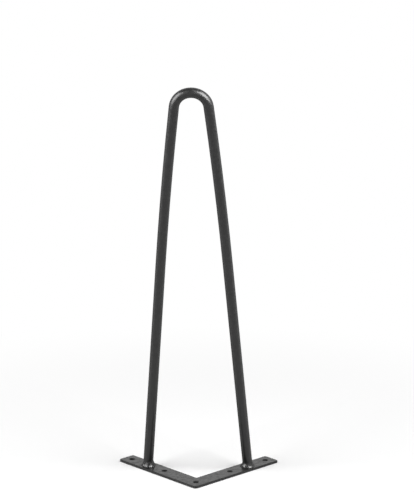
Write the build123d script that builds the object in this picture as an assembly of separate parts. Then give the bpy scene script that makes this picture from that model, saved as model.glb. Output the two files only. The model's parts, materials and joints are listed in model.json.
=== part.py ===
from build123d import *
import os
from math import acos, atan2, cos, degrees, hypot, radians, sin, sqrt, tan

# Hairpin table leg: one steel rod bent to a hairpin and welded by its two feet to an L-shaped plate.
# It stands on its plate, as it does before it is fitted. The plate's table-side face is z = 0, and
# the origin is the centre of the corner screw hole on that face. The hairpin rises towards +Z and
# leans towards -Y, out over the plate's outer corner. The leg is symmetric about the plane x = 0.

# Driving dimensions, in millimetres and degrees

overall_height = 406.4  # from the table-side face to the top of the bend, 16 inches
rod_diameter = 9.7  # 3/8 inch bar with its coat
bend_radius = 16.2  # of the rod's centreline at the bend
lean_angle = 14.0  # between the hairpin's plane and the upright
bow_radius = 4450.0  # of the long, slight curve that the shanks have below the bend
bow_angle = 2.2  # by which each shank turns along that curve

arm_length = 112.0  # of each arm of the plate, from the outer corner to the end
arm_width = 18.5
plate_thickness = 2.5
outer_corner_radius = 3.0
inner_corner_radius = 1.5
arm_end_radius = 2.0
plate_edge_radius = 0.4

screw_end_margin = 9.0  # from the end screw hole to the end of its arm
screw_to_foot = 24.0  # from the rod's foot to the screw hole on each side of it, along the arm
screw_hole_diameter = 4.6
countersink_diameter = 6.2
countersink_angle = 90.0

weld_drop_radius = 4.0  # of the overlapping drops of weld that make up a bead
weld_unevenness = 0.06  # share by which the drops differ from that radius
weld_ring_radius = 2.3  # of the ring that the drops' centres are on
weld_shift = 0.8  # of that ring from the rod's centre, towards the other foot, where the corner is sharper
weld_drop_count = 9
weld_drop_phase = 137.5  # degrees between one drop and the next in the run of their sizes

# Sizes that follow from the driving dimensions

rod_radius = rod_diameter / 2
lean = radians(lean_angle)
corner_to_origin = arm_width / sqrt(2)
end_screw_along = arm_length - screw_end_margin
foot_along = end_screw_along - screw_to_foot
middle_screw_along = foot_along - screw_to_foot
cutting_margin = rod_diameter  # by which cuts and blanks run past the faces that end them


def on_arm(side, along, across=arm_width / 2):
    """The point on the table-side face, along an arm from the outer corner and across from its outer edge.

    side is 1 for the right arm and -1 for the left one.
    """
    x = side * (along - across) / sqrt(2)
    y = (along + across) / sqrt(2) - corner_to_origin
    return Vector(x, y, 0)


def screw_hole():
    """The space of one countersunk screw hole, with its axis on Z."""
    radius = screw_hole_diameter / 2
    slope = tan(radians(countersink_angle / 2))
    sink_depth = (countersink_diameter / 2 - radius) / slope
    low = -cutting_margin
    high = plate_thickness + cutting_margin
    profile = Polyline(
        (0, 0, low),
        (radius, 0, low),
        (radius, 0, plate_thickness - sink_depth),
        (countersink_diameter / 2 + cutting_margin * slope, 0, high),
        (0, 0, high),
        close=True,
    )
    return revolve(make_face(profile), Axis.Z)


def mounting_plate():
    """The L-shaped plate, with a screw hole at its corner and two on each arm."""
    corners = {
        on_arm(1, 0, 0): outer_corner_radius,
        on_arm(1, arm_length, 0): arm_end_radius,
        on_arm(1, arm_length, arm_width): arm_end_radius,
        on_arm(1, arm_width, arm_width): inner_corner_radius,
        on_arm(-1, arm_length, arm_width): arm_end_radius,
        on_arm(-1, arm_length, 0): arm_end_radius,
    }
    outline = FilletPolyline(*corners.keys(), radius=corners.values(), close=True)
    plate = extrude(make_face(outline), plate_thickness, dir=(0, 0, 1))
    rims = plate.faces().sort_by(Axis.Z)
    plate = fillet(rims[0].edges() + rims[-1].edges(), plate_edge_radius)
    plate -= screw_hole()
    for side in (1, -1):
        for along in (middle_screw_along, end_screw_along):
            plate -= Pos(on_arm(side, along)) * screw_hole()
    return plate


# The hairpin lies in a leaning plane. Its x runs along X, its y runs up the lean, and its origin is
# midway between the feet, on the plate's top face.

foot_half_spread = on_arm(1, foot_along).X
hairpin_plane = Plane(
    origin=(0, on_arm(1, foot_along).Y, plate_thickness),
    x_dir=(1, 0, 0),
    z_dir=(0, -cos(lean), -sin(lean)),
)
hairpin_length = (overall_height - plate_thickness - rod_radius) / cos(lean)
bend_centre_height = hairpin_length - bend_radius

# A straight shank, drawn on past its bow, would pass the bend's centre at shank_offset, and that sets
# the angle at which it rises from its foot.
bow = radians(bow_angle)
shank_offset = bend_radius + (bow_radius - bend_radius) * (1 - cos(bow))
shank_angle = acos(shank_offset / hypot(foot_half_spread, bend_centre_height)) - atan2(
    bend_centre_height, foot_half_spread
)
bend_angle = shank_angle + bow


def hairpin_path():
    """The rod's centreline: shank, bow, bend, bow and shank, with both shanks run on below the plate's top."""
    bow_end = Vector(bend_radius * cos(bend_angle), bend_centre_height + bend_radius * sin(bend_angle))
    bow_centre = bow_end - Vector(cos(bend_angle), sin(bend_angle)) * bow_radius
    shank_end = bow_centre + Vector(cos(shank_angle), sin(shank_angle)) * bow_radius
    rising = Vector(-sin(shank_angle), cos(shank_angle))
    below_foot = Vector(foot_half_spread, 0) - rising * cutting_margin
    start = degrees(shank_angle)
    turn = degrees(bend_angle)
    lines = [
        Line(below_foot, shank_end),
        CenterArc(bow_centre, bow_radius, start, bow_angle),
        CenterArc((0, bend_centre_height), bend_radius, turn, 180 - 2 * turn),
        CenterArc((-bow_centre.X, bow_centre.Y), bow_radius, 180 - turn, bow_angle),
        Line((-shank_end.X, shank_end.Y), (-below_foot.X, below_foot.Y)),
    ]
    return hairpin_plane * Wire([line.edge() for line in lines])


def above_plate(solid):
    """What a solid has above the plate's top face."""
    return split(solid, Plane.XY.offset(plate_thickness), keep=Keep.TOP)


def hairpin_rod():
    """The bent rod, its feet cut flush with the plate's top face."""
    path = hairpin_path()
    section = Plane(origin=path @ 0, z_dir=path % 0) * Circle(rod_radius)
    return above_plate(sweep(section, path))


def weld_bead(rod):
    """The weld round the right foot: overlapping drops on the plate that fill the corner of rod and plate."""
    foot = on_arm(1, foot_along) + Vector(0, 0, plate_thickness)
    rising = hairpin_plane.y_dir * cos(shank_angle) - hairpin_plane.x_dir * sin(shank_angle)
    shank = Plane(origin=foot, z_dir=rising)
    middle = foot - Vector(weld_shift, 0, 0)
    drops = []
    for number in range(weld_drop_count):
        angle = radians(360 * number / weld_drop_count)
        outward = shank.x_dir * cos(angle) + shank.y_dir * sin(angle)
        beside = outward * weld_ring_radius
        centre = middle + beside - rising * (beside.Z / rising.Z)
        size = 1 + weld_unevenness * cos(radians(weld_drop_phase * number))
        # The drop's poles lie along the bead, under its neighbours, and its seam is inside the rod.
        turned = Plane(origin=centre, x_dir=-outward, z_dir=rising.cross(outward))
        drops.append(turned * Sphere(weld_drop_radius * size))
    return above_plate(Part() + drops - rod)


rod = hairpin_rod()
right_bead = weld_bead(rod)
pieces = {
    "hairpin_rod": rod,
    "mounting_plate": mounting_plate(),
    "weld_beads": right_bead + mirror(right_bead, Plane.YZ),
}

os.makedirs("parts", exist_ok=True)
for name, piece in pieces.items():
    export_step(piece, f"parts/{name}.step")
    print(name, len(piece.solids()), "solid", round(piece.volume, 1), "mm3", piece.bounding_box())
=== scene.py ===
import json
from math import cos, exp, pi, radians, sin, sqrt

import bpy
from mathutils import Matrix, Vector, noise

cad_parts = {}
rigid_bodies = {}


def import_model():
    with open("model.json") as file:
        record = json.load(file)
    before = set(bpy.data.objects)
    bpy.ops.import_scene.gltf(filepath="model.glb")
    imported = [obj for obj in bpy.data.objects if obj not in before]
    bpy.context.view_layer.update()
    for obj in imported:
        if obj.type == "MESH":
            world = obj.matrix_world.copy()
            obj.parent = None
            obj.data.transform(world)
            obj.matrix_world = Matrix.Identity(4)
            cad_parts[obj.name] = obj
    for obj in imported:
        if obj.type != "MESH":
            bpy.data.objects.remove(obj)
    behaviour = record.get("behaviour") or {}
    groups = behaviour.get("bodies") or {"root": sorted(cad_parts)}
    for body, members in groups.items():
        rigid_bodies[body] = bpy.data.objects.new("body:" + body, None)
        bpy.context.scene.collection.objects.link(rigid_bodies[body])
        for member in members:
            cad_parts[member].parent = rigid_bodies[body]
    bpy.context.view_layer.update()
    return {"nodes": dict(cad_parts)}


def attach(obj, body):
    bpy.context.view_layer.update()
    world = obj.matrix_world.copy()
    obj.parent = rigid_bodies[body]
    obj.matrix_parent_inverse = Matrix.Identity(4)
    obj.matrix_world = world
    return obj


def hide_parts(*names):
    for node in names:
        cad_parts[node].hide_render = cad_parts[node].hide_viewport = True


# The hairpin table leg's looks: a satin black powder coat over the bent rod, its plate and its welds,
# on a white floor between two softboxes. Lengths are in metres, in the part's own frame.

# Camera, at the photograph's viewing angle

view_target = Vector((0.011073, 0.026275, 0.233423))
view_azimuth = radians(2.214)  # from straight in front, towards the right
view_elevation = radians(15.291)
view_roll = radians(-0.306)
view_distance = 2.909646
view_lens = 220.737  # in millimetres, on a sensor that is 36 mm along the picture's height

# Light. Two softboxes light the leg and its floor at a plain level. Two more lamps are only seen, mirrored
# in the rod and the welds alone, and make the highlights on the bend and the welds.

softbox_azimuth = radians(55)  # from straight in front, to the left and to the right
softbox_elevation = radians(50)
softbox_distance = 2.2
softbox_size = (1.5, 1.5)
softbox_power = 43.5  # in watts
shine_distance = 1.4
left_shine_azimuth = radians(-62)
left_shine_elevation = radians(14)
left_shine_size = (1.05, 1.3)  # width and height
left_shine_strength = 14.5  # times as bright as white
right_shine_azimuth = radians(58)
right_shine_elevation = radians(26)
right_shine_size = (1.2, 1.35)
right_shine_strength = 24.0
lamp_aim = Vector((0, -0.04, 0.39))  # the bend

wall_strength = 1.0  # of the white surroundings, as they are seen and mirrored
front_strength = 0.8  # share of that behind the camera
front_begins = -0.2  # y of the directions in which the surroundings begin to dim towards there
front_whole = -0.9  # and of those in which they have dimmed all the way
ceiling_strength = 0.35
wall_top = 0.35  # sine of the elevation at which the walls begin to darken
ceiling_start = 0.85  # and at which the ceiling begins
fill_strength = 0.15  # share of the surroundings that lights the object
floor_side = 12.0
floor_white = (0.98, 0.98, 0.98, 1)
shadow_reach = 0.22  # from the leg, over which the floor shows only the light that falls on it
white_reach = 0.55  # from the leg, beyond which the floor is plain white

# Welds, in a finer form than the CAD beads that they stand for

right_foot = Vector((0.0493, 0.0493, 0.0025))  # where the rod's centre meets the plate's top face
lean_angle = radians(14)  # between the hairpin's plane and the upright
shank_angle = radians(4.3)  # between a shank and the hairpin's middle line
rod_radius = 0.00485
left_weld_rise = 0.005  # up the rod
right_weld_rise = 0.0044
weld_tilt = 0.0007  # by which a weld is taller at its right side than in its middle
weld_spread = 0.0022  # over the plate
weld_inner = 0.0006  # by which a weld is wider towards the other foot
weld_front = 0.0003  # by which it is wider in front, under the lean
weld_fullness = 0.85  # 1 for a straight slope, 2 for a round one, under 1 for a hollow one
weld_lumps = 0.0006  # by which the weld's width and height wander
lump_size = 0.7  # in radii of the rod
lump_seed = 3  # of the noise that they follow
lump_shift = 3  # from the middle of the noise to the place that shapes a weld, so that the two differ
weld_toe = 0.0004  # over which the coat evens out the corners at the rod and at the plate
ripple_count = 24  # round a foot
ripple_depth = 0.00014
ripple_bow = 9.0  # by which a ripple's middle is ahead of its ends, in radians of its period
ripple_drift = 2.0  # by which the ripples come early or late, in radians of their period
weld_buried = 0.0003  # depth to which the weld's mesh goes on inside the rod and the plate
weld_steps_round = 320
weld_steps_down = 20
weld_crease = radians(50)  # between faces that meet in a sharp edge

# Powder coat

coat_black = (0.008, 0.008, 0.008, 1)
coat_grey = (0.018, 0.018, 0.018, 1)
coat_gloss = 0.34  # strength of its reflections, where 0.5 is a plain varnish's
rod_roughness = (0.28, 0.37)  # from the glossier patches to the matter ones
plate_roughness = (0.12, 0.37)
weld_roughness = (0.2, 0.28)
rim_roughness = 0.65  # that a round piece's coat gains where it turns away from the viewer
rim_range = (0.28, 0.55)  # over which it does, on a scale from 0, facing the viewer, to 1, edge on
patch_size = 0.0035
patch_detail = 3
patch_range = (0.3, 0.7)  # of the patches' noise, over which the coat goes from glossier to matter
rod_waves = (0.003, 0.00015)  # size and depth
plate_waves = (0.005, 0.0003)
weld_waves = (0.003, 0.0002)
wave_detail = 2
peel_size = 0.0008
peel_depth = 0.00001
peel_detail = 1


def clear_start_scene():
    """Takes away what a new scene starts with."""
    for thing in list(bpy.data.objects):
        bpy.data.objects.remove(thing)


def seen_from(azimuth, elevation):
    """The direction to an azimuth, from straight in front and to the right, and an elevation."""
    level = cos(elevation)
    return Vector((level * sin(azimuth), -level * cos(azimuth), sin(elevation)))


def eased(nodes, value, start, end, low, high):
    """A smooth run from low to high as the value goes from start to end."""
    run = nodes.new("ShaderNodeMapRange")
    run.interpolation_type = "SMOOTHSTEP"
    run.inputs["From Min"].default_value = start
    run.inputs["From Max"].default_value = end
    run.inputs["To Min"].default_value = low
    run.inputs["To Max"].default_value = high
    nodes.id_data.links.new(value, run.inputs["Value"])
    return run.outputs["Result"]


def combined(nodes, operation, first, second):
    """The outcome of an operation on two values."""
    outcome = nodes.new("ShaderNodeMath")
    outcome.operation = operation
    nodes.id_data.links.new(first, outcome.inputs[0])
    nodes.id_data.links.new(second, outcome.inputs[1])
    return outcome.outputs[0]


def seen_directly(nodes):
    """1 for a ray that shows the background itself, from the camera or by reflection, and 0 for light."""
    rays = nodes.new("ShaderNodeLightPath").outputs
    mirrored = combined(nodes, "MAXIMUM", rays["Is Glossy Ray"], rays["Is Transmission Ray"])
    return combined(nodes, "MAXIMUM", rays["Is Camera Ray"], mirrored)


def make_world():
    """White surroundings with a dim ceiling, which light the object with only an even fill."""
    world = bpy.data.worlds.new("studio")
    bpy.context.scene.world = world
    world.use_nodes = True
    tree = world.node_tree
    nodes = tree.nodes
    background = nodes["Background"]
    background.inputs["Color"].default_value = (1, 1, 1, 1)
    direction = nodes.new("ShaderNodeTexCoord")
    parts = nodes.new("ShaderNodeSeparateXYZ")
    tree.links.new(direction.outputs["Generated"], parts.inputs["Vector"])
    height = eased(nodes, parts.outputs["Z"], wall_top, ceiling_start, wall_strength, ceiling_strength)
    depth = eased(nodes, parts.outputs["Y"], front_whole, front_begins, front_strength, 1)
    share = eased(nodes, seen_directly(nodes), 0, 1, fill_strength, 1)
    strength = combined(nodes, "MULTIPLY", combined(nodes, "MULTIPLY", height, depth), share)
    tree.links.new(strength, background.inputs["Strength"])


def make_floor():
    """The pale floor that the leg stands on."""
    mesh = bpy.data.meshes.new("floor")
    half = floor_side / 2
    corners = [(-half, -half, 0), (half, -half, 0), (half, half, 0), (-half, half, 0)]
    mesh.from_pydata(corners, [], [(0, 1, 2, 3)])
    material = bpy.data.materials.new("floor")
    material.use_nodes = True
    tree = material.node_tree
    nodes = tree.nodes
    shader = nodes["Principled BSDF"]
    shader.inputs["Base Color"].default_value = floor_white
    shader.inputs["Roughness"].default_value = 1
    shader.inputs["Specular IOR Level"].default_value = 0
    place = nodes.new("ShaderNodeTexCoord")
    distance = nodes.new("ShaderNodeVectorMath")
    distance.operation = "LENGTH"
    tree.links.new(place.outputs["Object"], distance.inputs[0])
    away = eased(nodes, distance.outputs["Value"], shadow_reach, white_reach, 0, 1)
    share = combined(nodes, "MULTIPLY", away, seen_directly(nodes))
    white = nodes.new("ShaderNodeEmission")
    mix = nodes.new("ShaderNodeMixShader")
    tree.links.new(share, mix.inputs["Fac"])
    tree.links.new(shader.outputs["BSDF"], mix.inputs[1])
    tree.links.new(white.outputs["Emission"], mix.inputs[2])
    tree.links.new(mix.outputs["Shader"], nodes["Material Output"].inputs["Surface"])
    mesh.materials.append(material)
    floor = bpy.data.objects.new("floor", mesh)
    bpy.context.collection.objects.link(floor)


def make_lamp(name, azimuth, elevation, distance, size, power):
    """A rectangular lamp that faces the leg and is out of the camera's sight."""
    light = bpy.data.lights.new(name, "AREA")
    light.shape = "RECTANGLE"
    light.size, light.size_y = size
    light.energy = power
    lamp = bpy.data.objects.new(name, light)
    lamp.location = lamp_aim + seen_from(azimuth, elevation) * distance
    lamp.rotation_euler = (lamp_aim - lamp.location).to_track_quat("-Z", "Y").to_euler()
    lamp.visible_camera = False
    bpy.context.collection.objects.link(lamp)
    return lamp


def make_softbox(name, azimuth):
    """A lamp that lights and isn't mirrored."""
    lamp = make_lamp(name, azimuth, softbox_elevation, softbox_distance, softbox_size, softbox_power)
    lamp.visible_glossy = False


def make_shine(name, azimuth, elevation, size, strength, round_pieces):
    """A lamp that is mirrored in the round pieces alone and doesn't light."""
    power = strength * pi * size[0] * size[1]
    lamp = make_lamp(name, azimuth, elevation, shine_distance, size, power)
    lamp.visible_diffuse = False
    lamp.light_linking.receiver_collection = round_pieces


def make_camera():
    """The camera, at the photograph's viewing angle and with its framing."""
    back = seen_from(view_azimuth, view_elevation)
    level = Vector((cos(view_azimuth), sin(view_azimuth), 0))
    upright = back.cross(level)
    right = level * cos(view_roll) + upright * sin(view_roll)
    up = back.cross(right)
    data = bpy.data.cameras.new("camera")
    data.lens = view_lens
    camera = bpy.data.objects.new("camera", data)
    turn = Matrix((right, up, back)).transposed().to_4x4()
    camera.matrix_world = Matrix.Translation(view_target + back * view_distance) @ turn
    bpy.context.collection.objects.link(camera)
    bpy.context.scene.camera = camera


def blotches(nodes, place, size, detail):
    """Cloudy values round 0.5, in blotches of about a size in metres."""
    clouds = nodes.new("ShaderNodeTexNoise")
    clouds.inputs["Scale"].default_value = 1 / size
    clouds.inputs["Detail"].default_value = detail
    nodes.id_data.links.new(place, clouds.inputs["Vector"])
    return clouds.outputs["Fac"]


def bumped(nodes, height, depth, below=None):
    """Normals that follow a height of 0 to 1 times a depth in metres, on top of the normals below."""
    bump = nodes.new("ShaderNodeBump")
    bump.inputs["Distance"].default_value = depth
    nodes.id_data.links.new(height, bump.inputs["Height"])
    if below:
        nodes.id_data.links.new(below, bump.inputs["Normal"])
    return bump.outputs["Normal"]


def powder_coat(name, roughness, waves, dull_rims):
    """Satin black powder coat: a fine orange peel over broader waves, matter and greyer in patches.

    With dull_rims it is also matter where a round piece turns away.
    """
    material = bpy.data.materials.new(name)
    material.use_nodes = True
    tree = material.node_tree
    nodes = tree.nodes
    shader = nodes["Principled BSDF"]
    shader.inputs["Specular IOR Level"].default_value = coat_gloss
    place = nodes.new("ShaderNodeTexCoord").outputs["Object"]
    wave_size, wave_depth = waves
    peel = blotches(nodes, place, peel_size, peel_detail)
    swells = blotches(nodes, place, wave_size, wave_detail)
    patches = blotches(nodes, place, patch_size, patch_detail)
    tint = nodes.new("ShaderNodeMix")
    tint.data_type = "RGBA"
    tint.inputs["A"].default_value = coat_black
    tint.inputs["B"].default_value = coat_grey
    tree.links.new(patches, tint.inputs["Factor"])
    tree.links.new(tint.outputs["Result"], shader.inputs["Base Color"])
    matt = eased(nodes, patches, *patch_range, *roughness)
    if dull_rims:
        turned = nodes.new("ShaderNodeLayerWeight").outputs["Facing"]
        matt = combined(nodes, "ADD", matt, eased(nodes, turned, *rim_range, 0, rim_roughness))
    tree.links.new(matt, shader.inputs["Roughness"])
    normal = bumped(nodes, peel, peel_depth, bumped(nodes, swells, wave_depth))
    tree.links.new(normal, shader.inputs["Normal"])
    return material


def weld_profile(phase, spread, rise):
    """Points down a weld's face, as distances out from the rod's side and up from the plate.

    phase is how far round its ripples it is.
    """
    points = []
    for step in range(weld_steps_down + 1):
        share = step / weld_steps_down
        slope = share * pi / 2
        out = spread * sin(slope) ** (2 / weld_fullness)
        up = rise * cos(slope) ** (2 / weld_fullness)
        middle = sin(share * pi)
        ripple = abs(cos((phase + ripple_bow * middle) / 2))
        out += ripple_depth * ripple * middle
        points.append((out + weld_toe * exp(-up / weld_toe), up + weld_toe * exp(-out / weld_toe)))
    return points


def weld_loop(side, turn):
    """One loop of points round the cross-section of a weld, at a turn round the foot on a side."""
    foot = Vector((side * right_foot.x, right_foot.y, right_foot.z))
    upright = cos(shank_angle)
    rising = Vector((-side * sin(shank_angle), -upright * sin(lean_angle), upright * cos(lean_angle)))
    outward = Vector((cos(turn), sin(turn), 0))
    rod_side = rod_radius / sqrt(1 - outward.dot(rising) ** 2)
    inward = -side * outward.x
    forward = -outward.y
    wider, taller, later = noise.noise_vector(outward / lump_size + Vector((0, 0, lump_shift * side)))
    spread = weld_spread + weld_inner * inward + weld_front * forward + weld_lumps * wider
    mean_rise = right_weld_rise if side > 0 else left_weld_rise
    rise = mean_rise + weld_tilt * outward.x + weld_lumps * taller
    points = weld_profile(turn * ripple_count + ripple_drift * later, spread, rise)
    points.append((points[-1][0], -weld_buried))
    points.append((-weld_buried, -weld_buried))
    points.append((-weld_buried, points[0][1]))
    return [foot + rising * (up / rising.z) + outward * (rod_side + out) for out, up in points]


def make_welds(coat):
    """The two welds, as rings with ripples that fill the corner of rod and plate."""
    noise.seed_set(lump_seed)
    points = []
    faces = []
    for side in (-1, 1):
        loops = [weld_loop(side, step / weld_steps_round * 2 * pi) for step in range(weld_steps_round)]
        first = len(points)
        size = len(loops[0])
        for number, loop in enumerate(loops):
            here = first + number * size
            ahead = first + (number + 1) % len(loops) * size
            for place in range(size):
                below = (place + 1) % size
                faces.append((here + place, here + below, ahead + below, ahead + place))
            points.extend(loop)
    mesh = bpy.data.meshes.new("welds")
    mesh.from_pydata(points, [], faces)
    mesh.shade_smooth()
    mesh.set_sharp_from_angle(angle=weld_crease)
    mesh.materials.append(coat)
    welds = bpy.data.objects.new("welds", mesh)
    bpy.context.collection.objects.link(welds)
    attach(welds, "root")
    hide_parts("weld_beads")
    return welds


clear_start_scene()
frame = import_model()

bpy.context.scene.view_settings.view_transform = "Standard"
make_world()
make_floor()
make_softbox("softbox_left", -softbox_azimuth)
make_softbox("softbox_right", softbox_azimuth)
make_camera()

rod_coat = powder_coat("powder_coat_on_rod", rod_roughness, rod_waves, dull_rims=True)
plate_coat = powder_coat("powder_coat_on_plate", plate_roughness, plate_waves, dull_rims=False)
weld_coat = powder_coat("powder_coat_on_welds", weld_roughness, weld_waves, dull_rims=True)
for name, coat in (("hairpin_rod", rod_coat), ("mounting_plate", plate_coat)):
    mesh = frame["nodes"][name].data
    mesh.materials.clear()
    mesh.materials.append(coat)
welds = make_welds(weld_coat)

round_pieces = bpy.data.collections.new("round_pieces")
round_pieces.objects.link(frame["nodes"]["hairpin_rod"])
round_pieces.objects.link(welds)
make_shine(
    "shine_left",
    left_shine_azimuth,
    left_shine_elevation,
    left_shine_size,
    left_shine_strength,
    round_pieces,
)
make_shine(
    "shine_right",
    right_shine_azimuth,
    right_shine_elevation,
    right_shine_size,
    right_shine_strength,
    round_pieces,
)
